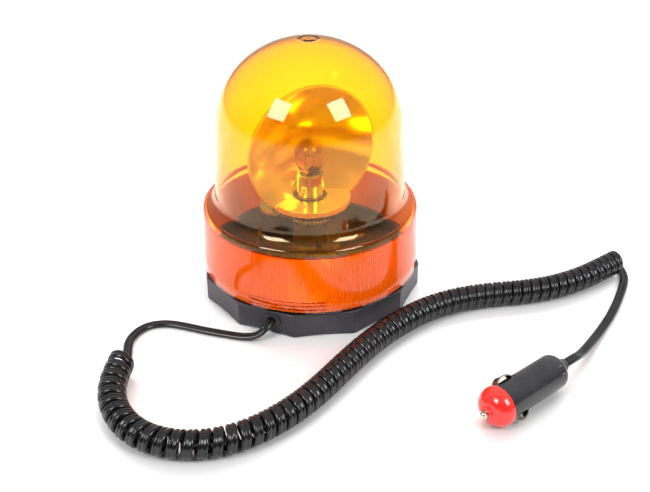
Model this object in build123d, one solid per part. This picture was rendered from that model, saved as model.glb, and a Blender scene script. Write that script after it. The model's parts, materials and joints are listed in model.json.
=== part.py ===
from build123d import *
import os
from math import atan2, cos, pi, radians, sin, sqrt, tan

# Amber rotating warning beacon: twelve-sided base with a magnet under it, screw-off lens,
# bulb with a turning reflector driven by a small motor, curly lead and 12 V lighter plug.
# Millimetres, +Z up, origin at the centre of the rubber pad's underside, the front is -Y.

os.makedirs("parts", exist_ok=True)

# ---------------------------------------------------------------- driving dimensions

# base
BASE_SIDES = 12
BASE_CORNER_R = 68.1
BASE_CORNER_ANGLE = -128.5          # polar angle of one corner
BASE_BOTTOM = 0.4
BASE_TOP = 15.0
BASE_WALL = 2.5
DECK = 2.5                          # thickness of the base's top
EDGE_ARCH = 1.2                     # rise of each lower edge between two corners
PAD_R = 50.0
PAD_T = 1.5
PLATE_T = 1.8
CUP_R = 46.5
CUP_WALL = 1.4
CUP_TOP = 10.8
MAGNET_BORE_R = 14.0

# collar that the lens locks on
COLLAR_R = 61.0
COLLAR_WALL = 2.4
COLLAR_TOP = 24.6
THREAD_PITCH = 2.0
THREAD_T = 0.8
THREAD_FIRST_Z = 16.6
THREAD_TIP_R = 62.6
THREAD_WIDTH = 46.0                 # degrees that one thread segment covers
THREAD_CENTRES = (-103.0, 17.0, 137.0)
LUG_TIP_R = 61.4
LUG_WIDTH = 40.0

# lens
LENS_BOTTOM = 15.6
LENS_FOOT_R = 66.6
LENS_WALL = 2.0
SKIRT_TOP_R = 65.25
SKIRT_TOP_Z = 52.4
RIM_MID = (64.6, 55.1)
FLARE_CENTRE = (65.2, 64.0)
FLARE_R = 8.0
FLARE_START = -106.7                # degrees, where the rim meets the flare
DOME_R = 54.6
DOME_SPRING_Z = 105.6
DOME_RISE = 49.8
DOME_SHOULDER_R = 47.0              # arc from the dome's wall into its crown

# lamp post, bearing and socket
CHASSIS_T = 2.4
POST_R = 10.8
POST_SHOULDER_Z = 44.0
JOURNAL_R = 9.4
JOURNAL_TOP = 59.5
RUNNING = 0.05                      # radial clearance of a running fit
SOCKET_R = 8.1
SOCKET_WALL = 0.5
SOCKET_BOTTOM = 46.0
SOCKET_TOP = 73.5

# bulb, single contact bayonet, 37.5 mm long
BULB_FOOT = 58.0
CAP_R = 7.45
CAP_TOP = BULB_FOOT + 16.5
PIN_Z = BULB_FOOT + 6.9
PIN_REACH = 8.75
GLOBE_R = 9.25
GLOBE_TOP = BULB_FOOT + 37.5
FILAMENT_Z = PIN_Z + 19.0
BULB_TRAVEL = 2.0

# gear drive
MODULE = 0.8
GEAR_TEETH = 45
PINION_TEETH = 12
SHIFT = 0.3                         # profile shift, added to the pinion, taken off the gear
GEAR_BOTTOM = 49.5
GEAR_TOP = 54.5
HUB_R = 12.5
HUB_BOTTOM = 45.9
HUB_TOP = 57.5
MOTOR_ANGLE = 148.0                 # polar angle of the motor from the lamp post
MOTOR_R = 11.8
MOTOR_BOTTOM = 18.0
SHAFT_R = 1.0
SHAFT_TOP = 54.9

# reflector
PLATFORM_R = 24.7
PLATFORM_HOLE_R = 10.6
PLATFORM_TOP = 58.7
BOWL_R = 39.5
BOWL_FOCUS = 17.4                   # focal length; the focus is on the turning axis
BOWL_Z = 88.5
BOWL_T = 1.6
BOWL_RIM = 1.2
REFLECTOR_TURN = 25.0               # degrees that the reflector is turned at rest

# lead
WIRE_R = 0.7
CORD_W = 5.4                        # width of the flat twin cord
COIL_D = 15.0                       # outer diameter of the curly length
EXIT_OFFSET = 4.0                   # from the middle of the exit's facet, along it
EXIT_ANGLE = -113.5                 # polar angle of the facet with the exit
EXIT_Z = 9.4
GROMMET_FLANGE = 1.0

# plug
PLUG_TIP = (83.5, -149.4)
PLUG_TURN = 38.6                    # degrees, direction from the tip to the rear
PLUG_AXIS_Z = 10.8
PLUG_LENGTH = 65.2
NOSE_R = 10.8
BODY_R = 9.45
BODY_FRONT = 14.5
BODY_REAR = 59.5
BODY_BORE_R = 7.4
FUSE_FRONT = 13.8
FUSE_REAR = 33.8
REAR_CONTACT = 47.0
CONTACT_ROLL = 47.0                 # degrees that the side contacts' plane is rolled up

gear_pitch_r = MODULE * GEAR_TEETH / 2
pinion_pitch_r = MODULE * PINION_TEETH / 2
centre_distance = gear_pitch_r + pinion_pitch_r
plate_z = PAD_T
deck_under = BASE_TOP - DECK
base_flat_r = BASE_CORNER_R * cos(pi / BASE_SIDES)


# ---------------------------------------------------------------- helpers

def polar(radius, angle, z=0.0):
    return (radius * cos(radians(angle)), radius * sin(radians(angle)), z)


def disc(radius, bottom, top, centre=(0.0, 0.0)):
    return extrude(Pos(centre[0], centre[1], bottom) * Circle(radius), top - bottom)


def ring(outer, inner, bottom, top, centre=(0.0, 0.0)):
    return disc(outer, bottom, top, centre) - disc(inner, bottom, top, centre)


def sector(outer, inner, bottom, top, middle, width):
    """A piece of a ring that covers width degrees about the polar angle middle."""
    profile = Plane.XZ * Pos((inner + outer) / 2, (bottom + top) / 2) * Rectangle(outer - inner, top - bottom)
    return Rot(0, 0, middle - width / 2) * revolve(profile, Axis.Z, revolution_arc=width)


def revolved(points):
    """Solid of revolution about Z from a closed outline of (radius, z) points."""
    outline = make_face(Polyline(*[(r, z) for r, z in points], close=True))
    return revolve(Plane.XZ * outline, Axis.Z)


def polygon_prism(corner_r, bottom, top):
    step = 360 / BASE_SIDES
    corners = [polar(corner_r, BASE_CORNER_ANGLE + step * k)[:2] for k in range(BASE_SIDES)]
    return extrude(Pos(0, 0, bottom) * make_face(Polyline(*corners, close=True)), top - bottom)


def screw(head_r, head_t, shank_r, length, recess=0.9):
    """A pan-head screw pointing down, with the head's underside at z = 0."""
    body = disc(head_r, 0, head_t) + disc(shank_r, -length, 0)
    top_edges = body.edges().group_by(Axis.Z)[-1]
    body = fillet(top_edges, head_t * 0.35)
    for turn in (0, 90):
        body -= Pos(0, 0, head_t) * Rot(0, 0, turn) * Box(head_r * 1.1, 0.5, recess * 2)
    return body


def placed(shape, places):
    return Compound(children=[Pos(*place) * shape for place in places])


def save(shape, node):
    export_step(shape, f"parts/{node}.step")


# ---------------------------------------------------------------- base

plate_screw_places = [polar(56.0, BASE_CORNER_ANGLE + 30 + 60 * k, plate_z) for k in range(6)]
magnet_screw_places = [polar(9.0, 90 + 120 * k) for k in range(3)]
chassis_screw_angles = (30.0, 270.0, 205.0)
chassis_screw_places = [polar(37.0, angle, BASE_TOP + CHASSIS_T) for angle in chassis_screw_angles]
wire_hole = polar(50.0, -66.0)[:2]

exit_normal = Vector(*polar(1.0, EXIT_ANGLE))
exit_along = Vector(*polar(1.0, EXIT_ANGLE + 90))
exit_point = exit_normal * base_flat_r + exit_along * EXIT_OFFSET + Vector(0, 0, EXIT_Z)
exit_plane = Plane(origin=exit_point, x_dir=exit_along, z_dir=exit_normal)


def arch_cutters():
    """Shallow arcs that lift each lower edge of the base between its corners."""
    half = BASE_CORNER_R * sin(pi / BASE_SIDES) - 1.5
    radius = (half ** 2 + EDGE_ARCH ** 2) / (2 * EDGE_ARCH)
    cutters = []
    for k in range(BASE_SIDES):
        angle = BASE_CORNER_ANGLE + 15 + 30 * k
        plane = Plane(origin=polar(base_flat_r - BASE_WALL - 1, angle, BASE_BOTTOM + EDGE_ARCH - radius),
                      x_dir=polar(1, angle + 90), z_dir=polar(1, angle))
        cutters.append(extrude(plane * Circle(radius), BASE_WALL + 3))
    return cutters


def thread_ribs():
    ribs = []
    for middle in THREAD_CENTRES:
        for level in range(4):
            z = THREAD_FIRST_Z + THREAD_PITCH * level
            ribs.append(sector(THREAD_TIP_R, COLLAR_R - 0.4, z, z + THREAD_T, middle, THREAD_WIDTH))
        stop = middle - LUG_WIDTH / 2 - 2.0
        ribs.append(sector(THREAD_TIP_R, COLLAR_R - 0.4, THREAD_FIRST_Z, 23.4, stop, 2.0))
    return ribs


def base_housing():
    shell = polygon_prism(BASE_CORNER_R, BASE_BOTTOM, BASE_TOP)
    shell = fillet(shell.edges().group_by(Axis.Z)[-1], 0.6)
    shell = fillet(shell.edges().filter_by(Axis.Z), 0.8)
    shell -= polygon_prism(BASE_CORNER_R - BASE_WALL / cos(pi / BASE_SIDES), BASE_BOTTOM, deck_under)
    for cutter in arch_cutters():
        shell -= cutter
    shell += ring(COLLAR_R, COLLAR_R - COLLAR_WALL, BASE_TOP, COLLAR_TOP)
    for rib in thread_ribs():
        shell += rib
    for x, y, z in plate_screw_places:
        shell += disc(3.6, plate_z + PLATE_T, deck_under, (x, y))
        shell -= disc(1.2, plate_z + PLATE_T, deck_under - 1, (x, y))
    for x, y, z in magnet_screw_places:
        shell += disc(3.4, CUP_TOP, deck_under, (x, y))
        shell -= disc(1.2, CUP_TOP, BASE_TOP - 0.8, (x, y))
    for x, y, z in chassis_screw_places:
        shell += disc(3.4, CUP_TOP + 0.1, deck_under, (x, y))
        shell -= disc(1.2, CUP_TOP + 0.1, BASE_TOP, (x, y))
    shell -= disc(3.2, deck_under, BASE_TOP, wire_hole)
    oval = extrude(exit_plane * Pos(0, 0, -4) * SlotOverall(9.0, 6.0), 8)
    return shell - oval


def bottom_plate():
    inset = (BASE_WALL + 0.15) / cos(pi / BASE_SIDES)
    plate = polygon_prism(BASE_CORNER_R - inset, plate_z, plate_z + PLATE_T)
    plate -= disc(CUP_R + 0.4, plate_z, plate_z + PLATE_T)
    for x, y, z in plate_screw_places:
        plate -= disc(1.7, plate_z, plate_z + PLATE_T, (x, y))
    return plate


def bottom_screws():
    one = Rot(180, 0, 0) * screw(2.6, 1.2, 1.15, 7.0, recess=0.5)
    return placed(one, plate_screw_places)


def rubber_pad():
    pad = disc(PAD_R, 0, PAD_T)
    return chamfer(pad.edges().group_by(Axis.Z)[0], 0.4)


def magnet_cup():
    cup = ring(CUP_R, CUP_R - CUP_WALL, PAD_T, CUP_TOP) + disc(CUP_R, CUP_TOP - 1.5, CUP_TOP)
    cup = fillet(cup.edges().group_by(Axis.Z)[-1], 0.7)
    for x, y, z in magnet_screw_places:
        cup -= disc(1.6, CUP_TOP - 1.5, CUP_TOP, (x, y))
    return cup


def ring_magnet():
    return ring(CUP_R - CUP_WALL - 0.4, MAGNET_BORE_R, PAD_T, CUP_TOP - 1.5)


def magnet_screws():
    one = Rot(180, 0, 0) * screw(2.8, 1.8, 1.15, 4.6, recess=0.6)
    return placed(one, [(x, y, CUP_TOP - 1.5) for x, y, z in magnet_screw_places])


def lens_gasket():
    return ring(65.0, 62.9, BASE_TOP, BASE_TOP + 0.45)


def cable_grommet():
    """Oval rubber sleeve in the wall, with a flange outside it and a lip inside."""
    sleeve = extrude(exit_plane * Pos(0, 0, -BASE_WALL - 0.8) * SlotOverall(9.0, 6.0), BASE_WALL + 0.8)
    flange = extrude(exit_plane * SlotOverall(10.6, 7.6), GROMMET_FLANGE)
    lip = extrude(exit_plane * Pos(0, -0.5, -BASE_WALL - 0.8) * SlotOverall(10.2, 7.0), 0.7)
    return sleeve + flange + lip - extrude(exit_plane * Pos(0, 0, -4) * Circle(CORD_W / 2), 8)


def inner_cord():
    """The end of the lead inside the base, from the grommet to the clamp."""
    return extrude(exit_plane * Pos(0, 0, -9.0) * Circle(CORD_W / 2), 9.0 + GROMMET_FLANGE)


def cord_clamp():
    """Saddle that holds the lead under the deck, with a screw each side."""
    plane = exit_plane.offset(-5.5)
    floor = -(EXIT_Z - 5.0)
    ceiling = deck_under - EXIT_Z
    block = extrude(plane * Pos(0, (floor + ceiling) / 2) * Rectangle(14.4, ceiling - floor), 2.0)
    return block - extrude(plane * Circle(CORD_W / 2), 2.0)


# ---------------------------------------------------------------- lens

def dome_arcs(inset):
    """Shoulder arc and crown arc, tangent to each other and to the wall, ending on the axis."""
    centre_r = DOME_R - DOME_SHOULDER_R
    crown_r = (centre_r ** 2 + DOME_RISE ** 2 - DOME_SHOULDER_R ** 2) / (2 * (DOME_RISE - DOME_SHOULDER_R))
    crown_centre_z = DOME_SPRING_Z + DOME_RISE - crown_r
    join = atan2(DOME_SPRING_Z - crown_centre_z, centre_r)

    def shoulder(angle):
        radius = DOME_SHOULDER_R - inset
        return (centre_r + radius * cos(angle), DOME_SPRING_Z + radius * sin(angle))

    def crown(angle):
        return ((crown_r - inset) * cos(angle), crown_centre_z + (crown_r - inset) * sin(angle))

    top = (0, crown_centre_z + crown_r - inset)
    return [ThreePointArc(shoulder(0), shoulder(join / 2), shoulder(join)),
            ThreePointArc(shoulder(join), crown((join + pi / 2) / 2), top)]


def lens_profile(inset):
    """Edges of the lens wall's outline from its foot to its crown, moved inwards by inset."""
    radius = FLARE_R + inset
    start = (FLARE_CENTRE[0] + radius * cos(radians(FLARE_START)),
             FLARE_CENTRE[1] + radius * sin(radians(FLARE_START)))
    middle_angle = radians((FLARE_START - 180) / 2)
    middle = (FLARE_CENTRE[0] + radius * cos(middle_angle), FLARE_CENTRE[1] + radius * sin(middle_angle))
    end = (FLARE_CENTRE[0] - radius, FLARE_CENTRE[1])
    foot = (LENS_FOOT_R - inset, LENS_BOTTOM)
    skirt_top = (SKIRT_TOP_R - inset, SKIRT_TOP_Z - inset)
    rim_middle = (RIM_MID[0] - 0.75 * inset, RIM_MID[1] - 0.75 * inset)
    spring = (DOME_R - inset, DOME_SPRING_Z)
    return [Line(foot, skirt_top), ThreePointArc(skirt_top, rim_middle, start),
            ThreePointArc(start, middle, end), Line(end, spring), *dome_arcs(inset)]


def lens():
    crown_z = DOME_SPRING_Z + DOME_RISE
    ends = [Line((0, crown_z), (0, crown_z - LENS_WALL)),
            Line((LENS_FOOT_R, LENS_BOTTOM), (LENS_FOOT_R - LENS_WALL, LENS_BOTTOM))]
    outline = make_face(lens_profile(0) + lens_profile(LENS_WALL) + ends)
    shell = revolve(Plane.XZ * outline, Axis.Z) - ring(5.2, 4.4, crown_z - 0.5, crown_z + 1)
    shell += ring(LENS_FOOT_R - 1.0, 63.5, LENS_BOTTOM, LENS_BOTTOM + 0.8)
    for middle in THREAD_CENTRES:
        for level in range(3):
            z = THREAD_FIRST_Z + THREAD_PITCH * (level + 0.5)
            shell += sector(LENS_FOOT_R - 1.2, LUG_TIP_R, z, z + THREAD_T, middle, LUG_WIDTH)
    return shell


# ---------------------------------------------------------------- chassis and motor

motor_x, motor_y, _ = polar(centre_distance, MOTOR_ANGLE)
motor_axis = (motor_x, motor_y)
motor_screw_places = [(motor_x + dx, motor_y + dy) for dx, dy in
                      (polar(8.0, MOTOR_ANGLE + 90)[:2], polar(8.0, MOTOR_ANGLE - 90)[:2])]


def chassis():
    top = BASE_TOP + CHASSIS_T
    body = disc(19.0, BASE_TOP, top) + disc(16.5, BASE_TOP, top, motor_axis)
    for angle in chassis_screw_angles:
        arm = Rot(0, 0, angle) * Pos(18.5, 0, BASE_TOP + CHASSIS_T / 2) * Box(37.0, 9.0, CHASSIS_T)
        rib = Rot(0, 0, angle) * Pos(20.0, 0, top + 2.0) * Box(20.0, 1.6, 4.0)
        body += arm + rib + disc(4.5, BASE_TOP, top, polar(37.0, angle)[:2])
    body += revolved([(0, top), (15.0, top), (POST_R, top + 7), (POST_R, POST_SHOULDER_Z),
                      (JOURNAL_R, POST_SHOULDER_Z), (JOURNAL_R, JOURNAL_TOP), (0, JOURNAL_TOP)])
    body += disc(14.4, top, top + 9, motor_axis)
    body -= disc(MOTOR_R + 0.1, top, top + 9, motor_axis)
    body -= disc(4.5, BASE_TOP, SOCKET_BOTTOM)
    body -= disc(SOCKET_R, SOCKET_BOTTOM, JOURNAL_TOP)
    body -= ring(JOURNAL_R + 1, JOURNAL_R - 0.5, 57.75, 58.55)
    for angle in chassis_screw_angles:
        body -= disc(1.6, BASE_TOP, top, polar(37.0, angle)[:2])
    window = Rot(0, 0, -62) * Pos(9.0, 0, 24.0) * Box(12.0, 4.0, 5.0)
    slot = Rot(0, 0, MOTOR_ANGLE) * Pos(centre_distance + 13, 0, top + 5.5) * Box(4.0, 8.0, 7.0)
    return body - window - slot


def chassis_screws():
    return placed(screw(3.0, 1.8, 1.15, 6.3), chassis_screw_places)


def motor_bracket():
    bottom, top = POST_SHOULDER_Z, POST_SHOULDER_Z + 1.4
    bar = Rot(0, 0, MOTOR_ANGLE) * Pos(centre_distance / 2, 0, (bottom + top) / 2)
    plate = disc(13.0, bottom, top) + disc(12.6, bottom, top, motor_axis)
    plate += bar * Box(centre_distance, 20.0, top - bottom)
    plate -= disc(JOURNAL_R, bottom, top) + disc(3.6, bottom, top, motor_axis)
    for place in motor_screw_places:
        plate -= disc(1.1, bottom, top, place)
    return plate


def motor_screws():
    one = screw(1.9, 1.1, 0.95, 4.5, recess=0.4)
    return placed(one, [(x, y, POST_SHOULDER_Z + 1.4) for x, y in motor_screw_places])


def thrust_washer():
    return ring(12.2, JOURNAL_R + 0.1, POST_SHOULDER_Z + 1.4, POST_SHOULDER_Z + 1.85)


def motor_can():
    """Drawn steel can, closed at the top with a bearing boss, open at the bottom."""
    can = disc(MOTOR_R, MOTOR_BOTTOM + 2, POST_SHOULDER_Z, motor_axis)
    can = fillet(can.edges().group_by(Axis.Z)[-1], 1.0)
    can += disc(3.5, POST_SHOULDER_Z, POST_SHOULDER_Z + 1.4, motor_axis)
    can -= disc(MOTOR_R - 0.8, MOTOR_BOTTOM + 2, POST_SHOULDER_Z - 1.5, motor_axis)
    for place in motor_screw_places:
        can -= disc(0.95, POST_SHOULDER_Z - 3.2, POST_SHOULDER_Z, place)
    return can - disc(SHAFT_R + RUNNING, POST_SHOULDER_Z - 2, POST_SHOULDER_Z + 2, motor_axis)


def motor_end_cap():
    cap = disc(MOTOR_R - 0.1, MOTOR_BOTTOM, MOTOR_BOTTOM + 2, motor_axis)
    cap += disc(MOTOR_R - 0.9, MOTOR_BOTTOM + 2, MOTOR_BOTTOM + 4, motor_axis)
    cap -= disc(8.5, MOTOR_BOTTOM + 2, MOTOR_BOTTOM + 4, motor_axis)
    return cap - disc(SHAFT_R + RUNNING, MOTOR_BOTTOM + 0.8, MOTOR_BOTTOM + 4, motor_axis)


def motor_terminals():
    """Two solder tabs on the end cap's side, bent up outside the cradle."""
    cap = disc(MOTOR_R - 0.1, MOTOR_BOTTOM, MOTOR_BOTTOM + 2, motor_axis)
    tabs = []
    for side in (-2.6, 2.6):
        tab = Pos(centre_distance + 13.0, side, MOTOR_BOTTOM + 1.7) * Box(4.0, 2.0, 0.4)
        leg = Pos(centre_distance + 14.8, side, MOTOR_BOTTOM + 2.7) * Box(0.4, 2.0, 2.4)
        tabs.append(Rot(0, 0, MOTOR_ANGLE) * (tab + leg) - cap)
    return Compound(children=tabs)


def motor_magnets():
    arcs = []
    for middle in (MOTOR_ANGLE, MOTOR_ANGLE + 180):
        arc = sector(MOTOR_R - 0.9, 8.5, MOTOR_BOTTOM + 6, POST_SHOULDER_Z - 3.4, middle + 90, 130)
        arcs.append(Pos(motor_x, motor_y, 0) * arc)
    return Compound(children=arcs)


def motor_armature():
    """Three-pole laminated core."""
    core = disc(3.2, MOTOR_BOTTOM + 8, POST_SHOULDER_Z - 6)
    for k in range(3):
        core += sector(8.1, 6.2, MOTOR_BOTTOM + 8, POST_SHOULDER_Z - 6, 120 * k, 96)
        core += Rot(0, 0, 120 * k) * Pos(4.5, 0, (MOTOR_BOTTOM + POST_SHOULDER_Z + 2) / 2) * Box(
            4.4, 3.0, POST_SHOULDER_Z - MOTOR_BOTTOM - 14)
    return Pos(motor_x, motor_y, 0) * (core - disc(SHAFT_R, MOTOR_BOTTOM, POST_SHOULDER_Z))


def motor_shaft():
    return disc(SHAFT_R, MOTOR_BOTTOM + 1, SHAFT_TOP, motor_axis)


# ---------------------------------------------------------------- gears

def involute_outline(teeth, shift, backlash=0.06, pressure=20.0, steps=4):
    """Outline of an external gear with one tooth centred on the +X axis."""
    pitch_r = MODULE * teeth / 2
    base_r = pitch_r * cos(radians(pressure))
    tip_r = pitch_r + MODULE * (1 + shift)
    root_r = pitch_r - MODULE * (1.25 - shift)
    thickness = MODULE * (pi / 2 + 2 * shift * tan(radians(pressure))) - backlash

    def involute(radius):
        alpha = 0.0 if radius <= base_r else sqrt((radius / base_r) ** 2 - 1)
        return alpha - atan2(alpha, 1)

    half_at_base = thickness / (2 * pitch_r) + involute(pitch_r)
    start_r = max(base_r, root_r)
    radii = [start_r + (tip_r - start_r) * k / steps for k in range(steps + 1)]
    flank = [(root_r, half_at_base)] if root_r < base_r else []
    flank += [(r, half_at_base - involute(r)) for r in radii]
    points = []
    for tooth in range(teeth):
        turn = 2 * pi * tooth / teeth
        points += [(r * cos(turn - a), r * sin(turn - a)) for r, a in flank]
        points += [(r * cos(turn + a), r * sin(turn + a)) for r, a in reversed(flank)]
    return make_face(Polyline(*points, close=True))


def gear_wheel():
    """Wheel with a long hub that turns on the post's journal; a gap faces the pinion."""
    rim = extrude(Pos(0, 0, GEAR_BOTTOM) * involute_outline(GEAR_TEETH, -SHIFT), GEAR_TOP - GEAR_BOTTOM)
    rim = Rot(0, 0, MOTOR_ANGLE + 180 / GEAR_TEETH) * rim
    rim -= ring(15.4, HUB_R, GEAR_BOTTOM, 51.0) + ring(15.4, HUB_R, 53.0, GEAR_TOP)
    wheel = rim + disc(HUB_R, HUB_BOTTOM, HUB_TOP)
    return wheel - disc(JOURNAL_R + RUNNING, HUB_BOTTOM, HUB_TOP)


def pinion():
    teeth = extrude(Pos(0, 0, 49.3) * involute_outline(PINION_TEETH, SHIFT), 5.4)
    return Pos(motor_x, motor_y, 0) * (Rot(0, 0, MOTOR_ANGLE + 180) * teeth - disc(SHAFT_R, 49, 55))


def retaining_ring():
    """Split spring ring in the journal's groove, over the wheel's hub."""
    return sector(10.4, JOURNAL_R - 0.45, 57.8, 58.5, 0, 320)


# ---------------------------------------------------------------- reflector

def bowl():
    """Paraboloid with its vertex at the local origin, opening along local +Z, with a rim flange."""
    depth = BOWL_R ** 2 / (4 * BOWL_FOCUS)
    edge_r = BOWL_R + BOWL_RIM
    wall = make_face([Bezier((0, 0), (BOWL_R / 2, 0), (BOWL_R, depth)),
                      Line((BOWL_R, depth), (edge_r, depth)), Line((edge_r, depth), (edge_r, depth - BOWL_T)),
                      Line((edge_r, depth - BOWL_T), (BOWL_R, depth - BOWL_T)),
                      Bezier((BOWL_R, depth - BOWL_T), (BOWL_R / 2, -BOWL_T), (0, -BOWL_T)),
                      Line((0, -BOWL_T), (0, 0))])
    return revolve(Plane.XZ * wall, Axis.Z)


def reflector():
    """Bowl and platform in one moulding, with a back rib, all turned about the post."""
    plane = Plane(origin=(0, BOWL_FOCUS, BOWL_Z), x_dir=(1, 0, 0), z_dir=(0, -1, 0))
    body = plane.location * bowl()
    rib_profile = make_face(Polyline((13, PLATFORM_TOP - 0.6), (23.8, PLATFORM_TOP - 0.6), (19.5, 74),
                                     (18.4, 84), (17.6, 84), close=True))
    body += extrude(Plane.YZ * rib_profile, 0.8, both=True)
    body -= Pos(0, 0, HUB_TOP - 30) * Box(100, 100, 60)
    platform = disc(PLATFORM_R, HUB_TOP, PLATFORM_TOP)
    platform += ring(PLATFORM_R, PLATFORM_R - 1.2, GEAR_TOP + 0.9, PLATFORM_TOP)
    body += fillet(platform.edges().group_by(Axis.Z)[-1], 0.4)
    body -= disc(PLATFORM_HOLE_R, HUB_TOP - 1, BOWL_Z)
    return Rot(0, 0, REFLECTOR_TURN) * body


# ---------------------------------------------------------------- socket and bulb

def bayonet_slot():
    """J-shaped cut in the socket's wall: entry, track and the hook that the pin sits in."""
    pin_r = 1.15
    low = PIN_Z - BULB_TRAVEL - pin_r - 0.2
    hook = Pos(SOCKET_R, 0, (low + PIN_Z + pin_r) / 2) * Box(4, 2 * pin_r, PIN_Z + pin_r - low)
    high = SOCKET_TOP + 1
    entry = Rot(0, 0, 26) * Pos(SOCKET_R, 0, (low + high) / 2) * Box(4, 2 * pin_r, high - low)
    track = sector(SOCKET_R + 1, SOCKET_R - 1.5, low, low + 2 * pin_r + 0.2, 13, 34)
    return hook + entry + track


def bulb_socket():
    tube = ring(SOCKET_R, SOCKET_R - SOCKET_WALL, SOCKET_BOTTOM, SOCKET_TOP)
    for turn in (60, 240):
        tube -= Rot(0, 0, turn) * bayonet_slot()
    return tube


def socket_base():
    return ring(SOCKET_R - SOCKET_WALL, 1.4, SOCKET_BOTTOM, SOCKET_BOTTOM + 2.5)


def socket_spring():
    coil = Helix(pitch=1.2, height=5.6, radius=3.4)
    start = Plane(origin=coil @ 0, z_dir=coil % 0)
    return Pos(0, 0, SOCKET_BOTTOM + 2.95) * sweep(start * Circle(0.4), coil)


def socket_contact():
    stud = disc(2.0, BULB_FOOT - 3.0, BULB_FOOT)
    return stud + disc(4.2, BULB_FOOT - 3.0, BULB_FOOT - 2.0)


def contact_washer():
    return ring(7.2, 2.0, BULB_FOOT - 2.0, BULB_FOOT - 0.8)


def bulb_cap():
    cap = revolved([(0, BULB_FOOT + 1.0), (4.0, BULB_FOOT + 1.0), (6.6, BULB_FOOT + 2.2),
                    (CAP_R, BULB_FOOT + 2.6), (CAP_R, CAP_TOP - 1.5), (CAP_R - 0.4, CAP_TOP), (0, CAP_TOP)])
    pins = Rot(0, 0, 60) * Pos(0, 0, PIN_Z) * Rot(0, 90, 0) * Cylinder(1.0, 2 * PIN_REACH)
    return cap + pins


def bulb_contact():
    return revolved([(0, BULB_FOOT), (1.4, BULB_FOOT), (2.4, BULB_FOOT + 0.6), (2.4, BULB_FOOT + 1.0),
                     (0, BULB_FOOT + 1.0)])


def glass_half(inset):
    """Half outline of the envelope: neck, flare to the widest part, round top."""
    neck_r = 6.6 - inset
    belly_z = GLOBE_TOP - GLOBE_R
    belly_r = GLOBE_R - inset
    edges = [Line((0, CAP_TOP + inset), (neck_r, CAP_TOP + inset)),
             Spline((neck_r, CAP_TOP + inset), (belly_r - 1.0, CAP_TOP + 5.0), (belly_r, belly_z),
                    tangents=((0, 1), (0, 1))),
             CenterArc((0, belly_z), belly_r, 0, 90),
             Line((0, belly_z + belly_r), (0, CAP_TOP + inset))]
    return make_face(edges)


def bulb_glass():
    return revolve(Plane.XZ * glass_half(0), Axis.Z) - revolve(Plane.XZ * glass_half(0.7), Axis.Z)


def filament():
    """Filament coil, drawn as a thin rod, on its two support wires."""
    span = 5.0
    rod = Pos(0, 0, FILAMENT_Z) * Rot(0, 90, 0) * Cylinder(0.35, span)
    for side in (-1, 1):
        rod += disc(0.25, CAP_TOP + 0.7, FILAMENT_Z + 0.25, (side * span / 2, 0))
    return rod


# ---------------------------------------------------------------- wiring

def terminal_block():
    """Two-way screw terminal on the deck, beside the wire hole."""
    block = Box(14.0, 9.0, 8.0, align=(Align.CENTER, Align.CENTER, Align.MIN))
    for side in (-3.4, 3.4):
        block -= Pos(side, 0, 8.0) * Cylinder(1.9, 5.0)
        block -= Pos(side, 0, 3.6) * Rot(90, 0, 0) * Cylinder(1.2, 12.0)
    x, y, _ = polar(43.0, -40.0)
    return Pos(x, y, BASE_TOP) * Rot(0, 0, 50) * block


def wire(points):
    """Round wire along straight runs joined by tangent arcs."""
    path = FilletPolyline(*points, radius=2.2)
    return sweep(Plane(origin=path @ 0, z_dir=path % 0) * Circle(WIRE_R), path)


def feed_wire(side):
    """From the inner end of the lead, round the magnet cup and up through the deck."""
    radius, level = 50.2 + side * 1.2, 8.4 - side * 1.1
    x, y = wire_hole
    end = (x + side * 1.3, y)
    return wire([tuple(exit_plane.from_local_coords((side * 1.5, 0, -9.0))), polar(radius, -107.0, level),
                 polar(radius, -95.0, level), polar(radius, -82.0, level), (*end, level),
                 (*end, BASE_TOP + 3)])


# ---------------------------------------------------------------- lead

def cord_radii(points):
    """Bend radius at each corner: as large as its two runs allow."""
    radii = []
    for before, here, after in zip(points, points[1:], points[2:]):
        run_in = Vector(*here) - Vector(*before)
        run_out = Vector(*after) - Vector(*here)
        half_turn = radians(run_in.get_angle(run_out)) / 2
        radii.append(0.45 * min(run_in.length, run_out.length) / tan(half_turn))
    return radii


def cord_tube(name, points, diameter):
    radii = cord_radii(points)
    path = FilletPolyline(*points, radius=radii)
    tube = sweep(Plane(origin=path @ 0, z_dir=path % 0) * Circle(diameter / 2), path)
    volume = pi * diameter ** 2 / 4 * path.length
    print(name, "length", round(path.length, 1), "volume ratio", round(tube.volume / volume, 4))
    print("  bend radii", [round(r) for r in radii])
    return tube


cord_z = CORD_W / 2
coil_z = COIL_D / 2
lead_start = exit_point + exit_normal * GROMMET_FLANGE

LEAD_ROUTE = [
    tuple(lead_start),
    tuple(lead_start + exit_normal * 5.6),
    (-32.0, -71.8, 5.4),
    (-45.0, -69.2, cord_z),
    (-60.0, -62.6, cord_z),
    (-74.0, -56.6, cord_z),
    (-85.6, -54.4, cord_z),
    (-95.0, -57.6, cord_z),
    (-101.0, -64.6, cord_z),
    (-103.0, -73.0, cord_z),
    (-101.0, -81.6, cord_z),
    (-102.2, -90.4, cord_z),
]

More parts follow.
